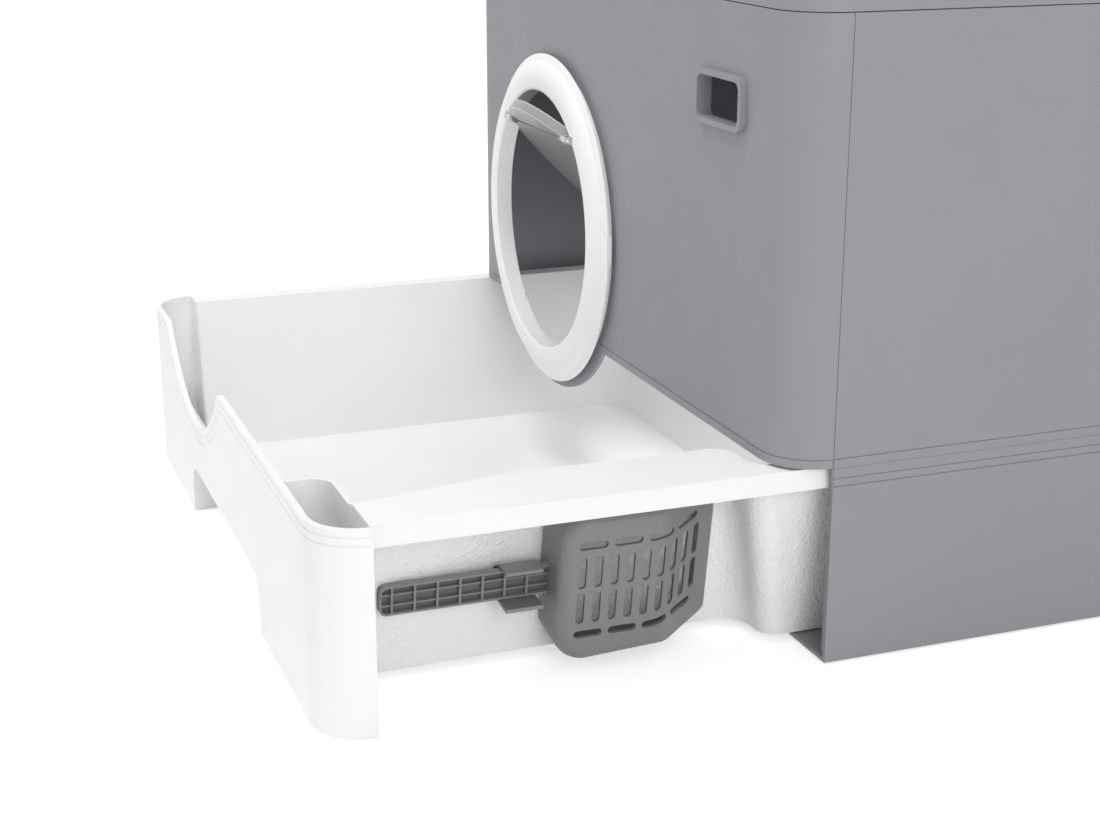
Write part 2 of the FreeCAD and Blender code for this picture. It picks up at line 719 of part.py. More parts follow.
EAR_INNER = 64
EAR_NOSE = 2.8
PIN_RADIUS = 1.5
SOCKET_RADIUS = 3.4
SOCKET_LONG = 14
RELIEF = 15


def hinge_centre():
    return (FRONT - HINGE_Y, RING_Z + HINGE_RISE)


def make_flap():
    """Round smoke-grey flap: a thin disc with a shallow rim, cut back round the two ears, and its sockets."""
    rim = FLAP_RIM + FLAP_THICK
    radius = FLAP_RADIUS
    points = [
        (0, 0), (radius - 0.8, 0), (radius, 0.8), (radius, rim), (radius - 1.8, rim),
        (radius - 1.8, FLAP_THICK), (0, FLAP_THICK),
    ]
    y, z = hinge_centre()
    disc = turned("flap disc", points, (RING_X, y - FLAP_THICK / 2, RING_Z))
    reliefs = []
    sockets = []
    for side in (-1, 1):
        relief_span = side_span_about(RING_X, side, EAR_INNER - 0.7, EAR_INNER + 40)
        reliefs.append(rod("flap relief", "X", RELIEF, relief_span, (y, z)))
        socket_span = side_span_about(RING_X, side, EAR_INNER - 1.2 - SOCKET_LONG, EAR_INNER - 1.2)
        sockets.append(rod("flap socket", "X", SOCKET_RADIUS, socket_span, (y, z)))
    bore = rod("flap socket bore", "X", PIN_RADIUS, (RING_X - 100, RING_X + 100), (y, z))
    blank = cut("flap relieved", disc, reliefs)
    solid = cut("flap_panel", fuse("flap blank", [blank] + sockets), [bore])
    keep("flap_panel", solid, flap_place())


def make_flap_pins():
    """Two short steel pins, pressed into the flap's sockets and turning in the ring's ears."""
    y, z = hinge_centre()
    pins = []
    for side in (-1, 1):
        span = side_span_about(RING_X, side, EAR_INNER - 14, EAR_INNER + 2.2)
        pins.append(rod("flap pin", "X", PIN_RADIUS, span, (y, z)))
    keep("flap_pins", fuse("flap_pins", pins), flap_place())


def flap_place():
    """Turn about the hinge line so that the flap's lower edge stands inside the cabin."""
    y, z = hinge_centre()
    centre = Vector(0, y.number, z.number)
    turn = Rotation(Vector(1, 0, 0), FLAP_SWING.number)
    return FreeCAD.Placement(centre - turn.multVec(centre), turn)


def make_port_bezel():
    """Rounded frame that stands proud of the front and lines the small port."""
    rim = front_plate("bezel rim", PORT_WIDE / 2, PORT_HIGH / 2, 8, (FRONT - PORT_RISE, FRONT), (PORT_X, PORT_Z))
    sleeve = front_plate("bezel sleeve", PORT_WIDE / 2 - PORT_RIM + 1.6, PORT_HIGH / 2 - PORT_RIM + 1.6, 6.3,
                         (FRONT - 1, FRONT + 6), (PORT_X, PORT_Z))
    opening = front_plate("bezel opening", PORT_WIDE / 2 - PORT_RIM, PORT_HIGH / 2 - PORT_RIM, 5,
                          (FRONT - 20, FRONT + 20), (PORT_X, PORT_Z))
    keep("port_bezel", cut("port_bezel", fuse("bezel blank", [rim, sleeve]), [opening]))


# --- Drawer (drawn shut) ------------------------------------------------------------------------------


def make_drawer_front():
    """Front skin with round corners and a thicker rim, a deep notch round the entrance ring and a hand arch."""
    zone = box("panel zone", (-BIG, BIG), (FRONT - 1, SEAM - 0.2), (PANEL_FOOT, PANEL_TOP))
    skin = band("panel band", 0, PANEL_WALL, (PANEL_FOOT, PANEL_TOP))
    rim = common("panel rim", band("panel rim band", 0, RIM_THICK, (PANEL_FOOT, PANEL_TOP)), rim_zone(0))
    plate = common("panel plate", fuse("panel shells", [skin, rim]), zone)
    notch = dipped_solid("panel notch", NOTCH_RADIUS, NOTCH_FILLET, PANEL_TOP, PANEL_TOP + 30, 12, -5)
    arch_centre = (0, ARCH_HIGH / 2 - 20)
    arch = front_plate("panel arch", ARCH_HALF, ARCH_HIGH / 2 + 20, 18, (FRONT - 10, FRONT + 40), arch_centre)
    liner = front_plate("arch liner", ARCH_HALF + ARCH_WALL, ARCH_HIGH / 2 + 20 + ARCH_WALL, 20,
                        (FRONT + 1, FRONT + ARCH_DEEP), arch_centre)
    above_floor = box("above floor", (-BIG, BIG), (-BIG, BIG), (PANEL_FOOT, BIG))
    blank = fuse("panel blank", [plate, common("arch return", liner, above_floor)] + panel_bosses())
    tools = [notch, arch] + panel_lines() + panel_bores()
    keep("drawer_front", cut("drawer_front", blank, tools), drawer_place())


def rim_zone(gap):
    """The room that the panel's thick rim takes along its top edge and round the notch, grown by a gap."""
    level = box("rim level", (-BIG, BIG), (-BIG, FRONT + FLANGE_FRONT - 0.1), (PANEL_TOP - RIM_HIGH - gap, BIG))
    turn = rod("rim round", "Y", NOTCH_RADIUS + RIM_HIGH + gap, (FRONT - 1, FRONT + 29), (RING_X, RING_Z))
    return fuse("rim room", [level, turn])


def panel_lines():
    """Two fine lines along the top of the panel, carried round under the notch."""
    made = []
    gap = LINE_DROP
    for line, offset in ((PANEL_LINE, gap), (PANEL_SECOND, gap * 2)):
        radius = NOTCH_RADIUS + offset
        ring_room = rod("line gap", "Y", radius, (FRONT - 10, FRONT + 10), (RING_X, RING_Z))
        made.append(cut("straight line", groove_band("panel line", line), [ring_room]))
        profile = [(radius, -1), (radius + GROOVE, -1), (radius + GROOVE, GROOVE_DEEP), (radius, GROOVE_DEEP)]
        ring = turned("notch line", profile, (RING_X, FRONT, RING_Z))
        below = box("below line", (-BIG, BIG), (-BIG, BIG), (0, line + GROOVE))
        made.append(common("notch line low", ring, below))
    return made


LINE_DROP = 5.2
PANEL_SCREWS_X = (-215, -150, 150)
PANEL_SCREW_Z = 28


def front_wall_y(z):
    """How far behind the front the tub's outer front wall stands: close behind the skin, then stepped back."""
    high, low, bottom = STEP_HIGH.number, STEP_LOW.number, TUB_BOTTOM.number
    if z >= high:
        return TUB_FRONT.number
    if z >= low:
        return STEP_BACK.number + (z - low) / (high - low) * (TUB_FRONT.number - STEP_BACK.number)
    return FRONT_FOOT.number + (z - bottom) / (low - bottom) * (STEP_BACK.number - FRONT_FOOT.number)


def panel_bosses():
    """Bosses on the back of the skin, low and outside the hand arch, that meet the tub's leaning front wall."""
    boss_radius = 5
    end = FRONT + (front_wall_y(PANEL_SCREW_Z + boss_radius) - 0.2)
    return [rod("panel boss", "Y", boss_radius, (FRONT + 1, end), (x, PANEL_SCREW_Z)) for x in PANEL_SCREWS_X]


def panel_bores():
    return [rod("panel bore", "Y", 1.6, (FRONT + 2.2, FRONT + 60), (x, PANEL_SCREW_Z)) for x in PANEL_SCREWS_X]


def make_panel_screws():
    """Screws from inside the tub into the skin's bosses."""
    head_radius = 3.4
    wall = TUB_WALL.number
    seat = FRONT + (front_wall_y(PANEL_SCREW_Z - head_radius - wall) + wall + 0.1)
    screws = []
    for x in PANEL_SCREWS_X:
        shank = rod("front screw shank", "Y", 1.6, (FRONT + 2.4, seat + 0.1), (x, PANEL_SCREW_Z))
        head = rod("front screw head", "Y", head_radius, (seat, seat + 2), (x, PANEL_SCREW_Z))
        screws.append(fuse("front screw", [shank, head]))
    keep("drawer_front_screws", fuse("drawer_front_screws", screws), drawer_place())


def drawer_place():
    return FreeCAD.Placement(Vector(0, -TRAVEL.number, 0), Rotation())


def rounded_wire(points, height):
    """A closed wire through (x, y behind the front, corner radius), every corner rounded by its radius."""
    count = len(points)
    corners = [Vector(x, FRONT.number + y, height) for x, y, _ in points]
    starts = []
    ends = []
    arcs = []
    for index in range(count):
        here = corners[index]
        before = (corners[index - 1] - here).normalize()
        after = (corners[(index + 1) % count] - here).normalize()
        radius = points[index][2]
        half = before.getAngle(after) / 2
        reach = radius / math.tan(half)
        start = here + before * reach
        end = here + after * reach
        towards = (before + after).normalize()
        centre = here + towards * (radius / math.sin(half))
        starts.append(start)
        ends.append(end)
        arcs.append(Part.Arc(start, centre - towards * radius, end).toShape())
    edges = []
    for index in range(count):
        edges.append(arcs[index])
        edges.append(Part.LineSegment(ends[index], starts[(index + 1) % count]).toShape())
    return Part.Wire(edges)


def tub_outline(height, inset):
    """Outline of the tub at a height, drawn in by inset: (x, distance behind the front, corner radius)."""
    share = (height - TUB_BOTTOM.number) / (TUB_TOP.number - TUB_BOTTOM.number)

    def between(bottom, top):
        return bottom + share * (top - bottom)

    half = TUB_HALF.number - (1 - share) * TUB_DRAFT.number - inset
    recess = RECESS_X.number - (1 - share) * RECESS_DRAFT.number - inset
    back = TUB_BACK.number - (1 - share) * TUB_DRAFT.number - inset
    front, corner = tub_front(height, inset)
    side = -ALCOVE_X.number + inset / 2
    alcove_back = ALCOVE_BACK.number - inset
    pocket_x = between(172, 187) - inset
    pocket_y = between(48, 30) + inset
    flare = between(206, 239) - inset
    step = between(289.2, 267.8) + inset
    return [
        (side, front, corner),
        (pocket_x, front, 3),
        (pocket_x, pocket_y, 13 + inset),
        (flare, pocket_y, 5),
        (recess, 127, 90),
        (recess, step, between(20, 12) + inset),
        (half, step, between(12.5, 15) - inset),
        (half, back, 24 - inset),
        (-half, back, 24 - inset),
        (-half, alcove_back, 3),
        (side, alcove_back, 0.8),
    ]


def tub_front(height, inset):
    """Where the front wall stands at a height and the radius of the far front corner there."""
    if inset:
        upright = height >= STEP_HIGH.number + TUB_WALL.number
        wall = TUB_FRONT_WALL.number if upright else inset
        front = front_wall_y(max(height - TUB_WALL.number, TUB_BOTTOM.number)) + wall
    else:
        front = front_wall_y(height)
    room = ALCOVE_BACK.number - inset - front
    return front, min(room - 0.9, 28.8)


def tub_loft(label, inset, low, high):
    """Ruled solid through the tub's outline at the levels where its front wall bends."""
    lift = TUB_WALL.number if inset else 0
    levels = [low, STEP_LOW.number + lift, STEP_HIGH.number + lift, high]
    wires = [rounded_wire(tub_outline(level, inset), level) for level in levels]
    return feature(label, Part.makeLoft(wires, True, True))


def make_tub():
    """Litter tub: leaning walls, a recess for the scoop on one side, and a flange with turned-down skirts."""
    bottom = TUB_BOTTOM.number
    top = TUB_TOP.number
    outside = tub_loft("tub outside", 0, bottom, top)
    hollow = tub_loft("tub hollow", TUB_WALL.number, bottom + TUB_WALL.number, top + 5)
    holes = [rod("tub screw hole", "Y", 1.8, (FRONT + 3.5, FRONT + 60), (x, PANEL_SCREW_Z)) for x in PANEL_SCREWS_X]
    rim_room = common("tub rim room", band("rim band", -1, 6, (0, TUB_TOP + 10)), rim_zone(0.1))
    blank = fuse("tub blank", [outside, flange_plate()] + flange_skirts())
    keep("drawer_tub", cut("drawer_tub", blank, [hollow, rim_room] + holes), drawer_place())


def flange_plate():
    """The tub's flat flange, square at the front and round-cornered at the back."""
    z_range = (TUB_TOP - FLANGE_THICK, TUB_TOP)
    plan = slab("flange slab", FLANGE_HALF, FLANGE_BACK, FLANGE_CORNER, z_range)
    square = box("flange front", (-FLANGE_HALF, FLANGE_HALF), (FRONT + FLANGE_FRONT, 0), z_range)
    zone = box("flange zone", (-BIG, BIG), (FRONT + FLANGE_FRONT, BIG), (0, BIG))
    return common("flange", fuse("flange plan", [plan, square]), zone)


def flange_skirts():
    """Turned-down edges along the two sides of the flange."""
    skirts = []
    y_range = (FRONT + FLANGE_FRONT, FLANGE_BACK - FLANGE_CORNER)
    for side in (-1, 1):
        span = side_span(side, FLANGE_HALF - FLANGE_THICK, FLANGE_HALF)
        skirts.append(box("skirt", span, y_range, (SKIRT_BOTTOM, TUB_TOP)))
    return skirts


RUNNER_FRONT = 346
RUNNER_LOW = 54.6
RUNNER_HIGH = 59


def make_runner(side, node):
    """Side shoe at the back of the tub that rides on the rail and meets its stop at full reach."""
    front = FRONT + RUNNER_FRONT
    back = FRONT + TUB_BACK - 22
    rail_side = HALF - WALL - 2.5
    plate = box(node + " plate", side_span(side, 240, rail_side), (front, back), (RUNNER_LOW, RUNNER_HIGH))
    web_x = side_span(side, 240, 262)
    web = box(node + " web", web_x, (front + 4, front + 7), (RUNNER_HIGH - 1, 88))
    back_web = box(node + " back web", web_x, (back - 10, back - 7), (RUNNER_HIGH - 1, 88))
    trim = tub_loft(node + " trim", 0, TUB_BOTTOM.number, TUB_TOP.number)
    keep(node, cut(node, fuse(node + " blank", [plate, web, back_web]), [trim]), drawer_place())


# --- Scoop and clip (drawn upright with the drawer shut, then tilted) ------------------------------------


def tilted():
    """Turn about the line of the handle's face, so that the scoop leans out with the tub's recess wall."""
    centre = Vector(HANDLE_FACE.number, 0, HANDLE_MID.number)
    turn = Rotation(Vector(0, 1, 0), SCOOP_TILT.number)
    return FreeCAD.Placement(centre - turn.multVec(centre), turn)


def scoop_place():
    return drawer_place().multiply(tilted())


CLIP_ROOT = -30
UPPER_NEAR = [(-3.4, 10.8), (3.5, 10.5), (9.8, 9.05)]
UPPER_FAR = [(10, 11.1), (4.5, 12), (-2.8, 12.3)]
UPPER_DROP = 12.9
LOWER_NEAR = [(-4, -10.7), (4.4, -11.45), (9.9, -11.75)]
LOWER_FAR = [(10.1, -13.9), (4.3, -13.6), (-4.7, -12.2)]


def make_clip():
    """Snap clip on the recess wall: two arms, the upper one hooked over the handle, on a pad behind it."""
    upper = clip_arm("clip upper arm", UPPER_NEAR, UPPER_FAR, UPPER_DROP)
    lower = clip_arm("clip lower arm", LOWER_NEAR, LOWER_FAR, 0)
    y_range = (FRONT + CLIP_FRONT, FRONT + CLIP_FRONT + CLIP_LONG)
    pad_back = HANDLE_FACE + CLIP_ROOT
    pad = box("clip pad", (pad_back, HANDLE_FACE - 9.5), y_range, (HANDLE_MID - 12, HANDLE_MID + 7))
    trim = tub_loft("clip trim", 0, TUB_BOTTOM.number, TUB_TOP.number)
    keep("scoop_clip", cut("scoop_clip", fuse("clip blank", [upper, lower, pad]), [trim]), drawer_place())


def clip_arm(label, near, far, drop):
    """An arm whose root lies lower by drop: three points on each face, out from the handle's face and middle."""

    def at(point):
        return Vector(HANDLE_FACE.number + point[0], 0, HANDLE_MID.number + point[1])

    root_near = at((CLIP_ROOT, near[0][1] - drop))
    root_far = at((CLIP_ROOT, far[2][1] - drop))
    edges = [
        Part.LineSegment(root_near, at(near[0])), Part.Arc(at(near[0]), at(near[1]), at(near[2])),
        Part.LineSegment(at(near[2]), at(far[0])), Part.Arc(at(far[0]), at(far[1]), at(far[2])),
        Part.LineSegment(at(far[2]), root_far), Part.LineSegment(root_far, root_near),
    ]
    face = Part.Face(Part.Wire([edge.toShape() for edge in edges]))
    made = feature(label, face.extrude(Vector(0, CLIP_LONG.number, 0)))
    made.Placement = FreeCAD.Placement(Vector(0, FRONT.number + CLIP_FRONT.number, 0), Rotation())
    return made


def scoop_side(inset):
    """Side view of the bowl, in the XY plane: everything behind its flat face, its bend and its sloping end."""
    slope = math.radians(SCOOP_SLOPE.number)
    radius = BEND_RADIUS.number - inset
    face = SCOOP_FACE.number - inset
    corner_y = FRONT.number + SCOOP_BEND.number - inset * math.tan(slope / 2)
    reach = radius * math.tan(slope / 2)
    centre = (face - radius, corner_y - reach)
    back = SCOOP_RIM.number - 20
    far = (face - back) / math.tan(slope)
    points = [
        Vector(back, corner_y - 100, 0), Vector(face, corner_y - 100, 0), Vector(face, centre[1], 0),
        Vector(face - reach * math.sin(slope), corner_y + reach * math.cos(slope), 0), Vector(back, corner_y + far, 0),
    ]
    middle = Vector(centre[0] + radius * math.cos(slope / 2), centre[1] + radius * math.sin(slope / 2), 0)
    edges = [
        Part.LineSegment(points[0], points[1]), Part.LineSegment(points[1], points[2]),
        Part.Arc(points[2], middle, points[3]), Part.LineSegment(points[3], points[4]),
        Part.LineSegment(points[4], points[0]),
    ]
    side = Part.Face(Part.Wire([edge.toShape() for edge in edges])).extrude(Vector(0, 0, 200))
    side.translate(Vector(0, 0, SCOOP_MID.number - 100))
    return side


def scoop_block(inset):
    """The bowl as a solid block: round-cornered sections that draw in towards its face, cut to its side view."""
    edge = SCOOP_ROUND.number - inset
    flat_x = SCOOP_FACE.number - SCOOP_ROUND.number
    wires = [bowl_section(SCOOP_RIM.number - (2 if inset else 0), inset, 0)]
    for degrees in range(0, 91, 15):
        angle = math.radians(degrees)
        wires.append(bowl_section(flat_x + edge * math.sin(angle), inset, edge * (1 - math.cos(angle))))
    return Part.makeLoft(wires, True, True).common(scoop_side(inset))


def bowl_section(x, inset, draw_in):
    """One section of the bowl in a plane of constant X."""
    half = SCOOP_HALF.number - inset - draw_in
    low_y = FRONT.number + SCOOP_HEEL.number + inset + draw_in
    high_y = FRONT.number + SCOOP_TIP.number - inset
    heel = HEEL_CORNER.number - inset - draw_in
    low_z = (SCOOP_MID.number - half - HEEL_DROP.number, SCOOP_MID.number - half + TIP_RISE.number)
    return side_wire(x, low_y, high_y, low_z, SCOOP_MID.number + half, heel, TIP_CORNER.number - inset)


def side_wire(x, low_y, high_y, low_z, high_z, corner, tip_corner):
    """A closed wire in a plane of constant x: low_z at its heel and tip, one radius at its heel, one at its tip."""

    def corner_arc(y, z, radius, start_angle):
        turned_points = []
        for step in (0, 45, 90):
            angle = math.radians(start_angle + step)
            turned_points.append(Vector(x, y + radius * math.cos(angle), z + radius * math.sin(angle)))
        return Part.Arc(*turned_points)

    arcs = [
        corner_arc(low_y + corner, low_z[0] + corner, corner, 180),
        corner_arc(high_y - tip_corner, low_z[1] + tip_corner, tip_corner, 270),
        corner_arc(high_y - tip_corner, high_z - tip_corner, tip_corner, 0),
        corner_arc(low_y + corner, high_z - corner, corner, 90),
    ]
    edges = []
    for index, arc in enumerate(arcs):
        following = arcs[(index + 1) % 4]
        edges.append(arc.toShape())
        edges.append(Part.LineSegment(arc.EndPoint, following.StartPoint).toShape())
    return Part.Wire(edges)


SLOT_COLUMNS = 9
FIRST_SLOT = 13.1
ROW_RISE = 12
LYING_SLOTS = 4
LYING_FIRST = 19
LYING_PITCH = 22.04
LYING_HALF = 9.1
LYING_RISE = 30.1


def slot_cutter(y, z, half_y, half_z):
    """A slot with round ends, through the bowl along X."""
    radius = min(half_y, half_z) - 0.01
    low_y = FRONT.number + SCOOP_HEEL.number + y - half_y
    low_z = SCOOP_MID.number + z - half_z
    start = SCOOP_RIM.number - 12
    wire = side_wire(start, low_y, low_y + 2 * half_y, (low_z, low_z), low_z + 2 * half_z, radius, radius)
    return Part.Face(wire).extrude(Vector(60, 0, 0))


def scoop_slots():
    """Two rows of upright slots between two rows of lying ones."""
    half_wide = SLOT_WIDE.number / 2
    half_long = SLOT_LONG.number / 2
    cutters = []
    for side in (-1, 1):
        for column in range(SLOT_COLUMNS):
            y = FIRST_SLOT + column * SLOT_PITCH.number
            cutters.append(slot_cutter(y, side * ROW_RISE, half_wide, half_long))
        for column in range(LYING_SLOTS):
            y = LYING_FIRST + column * LYING_PITCH
            cutters.append(slot_cutter(y, side * LYING_RISE, LYING_HALF, half_wide))
    return cutters


def make_scoop_head():
    """Slotted bowl of the scoop, open towards the tub's wall."""
    bowl = scoop_block(0).cut(scoop_block(SCOOP_WALL.number))
    for cutter in scoop_slots():
        bowl = bowl.cut(cutter)
    keep("scoop_head", feature("scoop_head", bowl.removeSplitter()), scoop_place())


HANDLE_RUN_ON = 20
FIRST_RIB = 7.6
CROSS_RIBS = 7
LONG_RIB_RISE = 3.5


def make_scoop_handle():
    """Ribbed handle, hollow on the side that shows, which runs straight into the bowl's heel."""
    back_x = HANDLE_FACE - HANDLE_DEEP
    outline = handle_pad("handle outline", 0, 4.5, back_x, HANDLE_DEEP)
    hollow = handle_pad("handle hollow", HANDLE_WALL, 3.4, back_x + 1.2, HANDLE_DEEP)
    ribs = handle_ribs(back_x)
    heel = box("heel trim", (0, BIG), (FRONT + SCOOP_HEEL, BIG), (0, BIG))
    blank = fuse("handle blank", [cut("handle tray", outline, [hollow]), handle_tooth()] + ribs)
    keep("scoop_handle", cut("scoop_handle", blank, [heel]), scoop_place())


def handle_pad(label, inset, radius, low_x, thickness):
    """A round-ended bar along the handle, drawn in by inset, which runs on past the bowl's heel."""
    start = FRONT + HANDLE_START
    end = FRONT + SCOOP_HEEL + HANDLE_RUN_ON
    body = named("PartDesign::Body", label)
    sketch = new_sketch(body, label, "YZ_Plane")
    rounded_rectangle(sketch, (end - start) / 2 - inset, HANDLE_HALF - inset, radius)
    pad = body.newObject("PartDesign::Pad", label.replace(" ", "_") + "_pad")
    pad.Profile = sketch
    bind(pad, "Length", thickness)
    placed(body, (low_x, (start + end) / 2, HANDLE_MID))
    return body


def handle_ribs(back_x):
    """Cross ribs at an even pitch and two thinner ribs along the handle."""
    ribs = []
    start = FRONT + HANDLE_START
    wall = HANDLE_HALF - HANDLE_WALL / 2
    for index in range(CROSS_RIBS):
        y = start + FIRST_RIB + HANDLE_RIB * index
        z_range = (HANDLE_MID - wall, HANDLE_MID + wall)
        ribs.append(box("cross rib", (back_x + 0.8, HANDLE_FACE - 0.2), (y - 0.65, y + 0.65), z_range))
    for side in (-1, 1):
        z = HANDLE_MID + side * LONG_RIB_RISE
        y_range = (start + 0.6, FRONT + SCOOP_HEEL)
        ribs.append(box("long rib", (back_x + 0.8, HANDLE_FACE - 0.9), y_range, (z - 0.45, z + 0.45)))
    return ribs


def handle_tooth():
    """Small stop tooth under the handle, beside the clip's lower arm."""
    start = FRONT.number + CLIP_FRONT.number + CLIP_LONG.number + 0.4
    under = HANDLE_MID.number - HANDLE_HALF.number
    x = HANDLE_FACE.number - 2.4
    points = [Vector(x, start, under + 0.2), Vector(x, start + 3.8, under + 0.2), Vector(x, start + 1.9, under - 3.6)]
    wire = Part.makePolygon(points + [points[0]])
    return feature("handle tooth", Part.Face(wire).extrude(Vector(2, 0, 0)))


# --- Build, check and write ---------------------------------------------------------------------------


def build_all():
    make_base_tray()
    make_pads()
    make_rail(-1, "guide_rail_left")
    make_rail(1, "guide_rail_right")
    make_rail_screws()
    make_front_shell()
    make_back_shell()
    make_side_panel(-1, "side_panel_left")
    make_side_panel(1, "side_panel_right")
    make_seam_strips()
    make_lid()
    make_lid_brackets()
    make_lid_pins()
    make_entrance_ring()
    make_ring_screws()
    make_flap()
    make_flap_pins()
    make_port_bezel()
    make_drawer_front()
    make_panel_screws()
    make_tub()
    make_runner(-1, "drawer_runner_left")
    make_runner(1, "drawer_runner_right")
    make_clip()
    make_scoop_head()
    make_scoop_handle()


def check_all():
    """Stop if any object failed to compute or any sub-part is empty or invalid."""
    for item in doc.Objects:
        if "Invalid" in item.State or "Error" in item.State:
            raise RuntimeError("failed object: " + item.Label)
    for node, item in parts.items():
        shape = item.Shape
        if shape.isNull() or not shape.isValid() or not shape.Solids:
            raise RuntimeError("bad shape: " + node)


def write_all():
    os.makedirs("parts", exist_ok=True)
    for node, item in sorted(parts.items()):
        item.Shape.exportStep("parts/" + node + ".step")
        bounds = item.Shape.BoundBox
        low = (round(bounds.XMin, 1), round(bounds.YMin, 1), round(bounds.ZMin, 1))
        high = (round(bounds.XMax, 1), round(bounds.YMax, 1), round(bounds.ZMax, 1))
        print(node, low, high, "solids", len(item.Shape.Solids), "volume", round(item.Shape.Volume / 1000, 1))


build_all()
doc.recompute()
check_all()
write_all()
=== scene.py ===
"""Looks for the drawer litter box: moulded plastics, moulding details, light and camera."""

import json
import math

import bpy
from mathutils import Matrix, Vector

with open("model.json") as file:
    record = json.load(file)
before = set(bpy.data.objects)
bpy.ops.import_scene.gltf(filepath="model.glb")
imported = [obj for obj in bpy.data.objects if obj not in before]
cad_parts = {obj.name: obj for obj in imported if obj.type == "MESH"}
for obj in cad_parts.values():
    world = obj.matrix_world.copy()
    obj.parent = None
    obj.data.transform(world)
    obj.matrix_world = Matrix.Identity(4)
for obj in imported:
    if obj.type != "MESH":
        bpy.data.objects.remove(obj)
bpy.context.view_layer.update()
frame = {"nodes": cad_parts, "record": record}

nodes = frame["nodes"]

# --- Values: places and lengths in metres, the lens and sensor in millimetres -----------------------------

CAMERA_PLACE = (1.17068, -0.68581, 0.47809)
CAMERA_AZIMUTH = math.radians(69.57)
CAMERA_ELEVATION = math.radians(17.45)
CAMERA_LENS = 60.0
SENSOR_WIDTH = 36.0

# Colours.
BODY_GREY = (0.292, 0.288, 0.312)
WHITE = (0.930, 0.930, 0.932)
SCOOP_GREY = (0.225, 0.225, 0.230)
SMOKE = (0.330, 0.330, 0.335)
# Painted highlights for the smoke flap's rim and edge corners, not colours the sheet has.
SMOKE_RIM_HIGHLIGHT = (0.400, 0.400, 0.405)
SMOKE_CORNER_HIGHLIGHT = (0.780, 0.780, 0.785)
# Painted shade that darkens the white hinge ears inside the ring.
EAR_PAINTED_SHADE = (0.420, 0.420, 0.425)
# Painted shade on the sunken floors between the scoop handle's ribs.
CELL_PAINTED_SHADE = (0.120, 0.120, 0.123)

# Where the details that a material carries lie on the part.
FLAP_CENTRE = (-0.0990, -0.1725, 0.2250)
FLAP_RADIUS = 0.091
FLAP_MIDDLE = (-0.0990, -0.17066, 0.2269)
FLAP_NORMAL = (0.0, 0.6959, 0.7181)
FLAP_HALF = 0.00365
HINGE_PLACE = (-0.0990, -0.2185, 0.2730)
HINGE_REACH = (0.0712, 0.0062, 0.0031)
HANDLE_PLACE = (0.2262, 0.0, 0.0577)
HANDLE_OUT = (0.98769, 0.0, -0.15643)
HANDLE_UP = (0.15643, 0.0, 0.98769)
HANDLE_END = -0.3352
CELL_DEPTH = 0.0026
CELL_HALF = 0.0088
RECESS_SIDE = 0.185
RECESS_FRONT = -0.4515
SKIRT_LOW = 0.1102
OUTWARD_LEAST = 0.25

# How far in from the flap's edge its painted highlights, the bright rim and corner lines, begin and end.
RIM_HIGHLIGHT_START = 0.0016
RIM_HIGHLIGHT_END = 0.0004
CORNER_HIGHLIGHT_START = 0.0009
CORNER_HIGHLIGHT_END = 0.0004

# Noise scales, relief depths and clearness of the materials.
DRIFT_SCALE = 7.0
SHEEN_SCALE = 45.0
RIPPLE_SCALE = 16.0
RIPPLE_DEPTH = 0.0006
SPARK_SCALE = 450.0
SPARK_DEPTH = 0.0010
METAL_DRIFT_SCALE = 200.0
METAL_SHEEN_SCALE = 400.0
PLASTIC_IOR = 1.46
SHEET_DRIFT_SCALE = 12.0
SHEET_HAZE_SCALE = 60.0
SHEET_GRAIN_SCALE = 900.0
SHEET_GRAIN_DEPTH = 0.00002
SHEET_IOR = 1.45
SHEET_CLEARNESS = 0.25

# Floor and background.
FLOOR_SIZE = 14.0
FLOOR_DROP = 0.0005
FLOOR_SHADE = 0.85
FLOOR_LIFT = 0.55
FILL_STRENGTH = 0.54
BACKDROP_STRENGTH = 1.0


# --- Node tree helpers --------------------------------------------------------------------------------


def new_material(name):
    """A material with an empty tree, its Principled shader and its output."""
    material = bpy.data.materials.new(name)
    material.use_nodes = True
    tree = material.node_tree
    tree.nodes.clear()
    output = tree.nodes.new("ShaderNodeOutputMaterial")
    shader = tree.nodes.new("ShaderNodeBsdfPrincipled")
    tree.links.new(shader.outputs["BSDF"], output.inputs["Surface"])
    return material, tree, shader


def noise(tree, scale, detail=3.0, roughness=0.55):
    """Noise in the object's own coordinates, so it stays put when a body moves."""
    place = tree.nodes.new("ShaderNodeTexCoord")
    texture = tree.nodes.new("ShaderNodeTexNoise")
    texture.inputs["Scale"].default_value = scale
    texture.inputs["Detail"].default_value = detail
    texture.inputs["Roughness"].default_value = roughness
    tree.links.new(place.outputs["Object"], texture.inputs["Vector"])
    return texture.outputs["Fac"]


def ramp(tree, value, low, high, from_low=0.3, from_high=0.7):
    """Maps a value onto a range with smooth ends."""
    mapper = tree.nodes.new("ShaderNodeMapRange")
    mapper.interpolation_type = "SMOOTHSTEP"
    mapper.inputs["From Min"].default_value = from_low
    mapper.inputs["From Max"].default_value = from_high
    mapper.inputs["To Min"].default_value = low
    mapper.inputs["To Max"].default_value = high
    tree.links.new(value, mapper.inputs["Value"])
    return mapper.outputs["Result"]


def tinted(tree, colour, value, spread):
    """The colour, made a little lighter or darker by a 0 to 1 value."""
    mix = tree.nodes.new("ShaderNodeMix")
    mix.data_type = "RGBA"
    mix.inputs["A"].default_value = tuple(c * (1 - spread) for c in colour) + (1,)
    mix.inputs["B"].default_value = tuple(min(1.0, c * (1 + spread)) for c in colour) + (1,)
    tree.links.new(value, mix.inputs["Factor"])
    return mix.outputs["Result"]


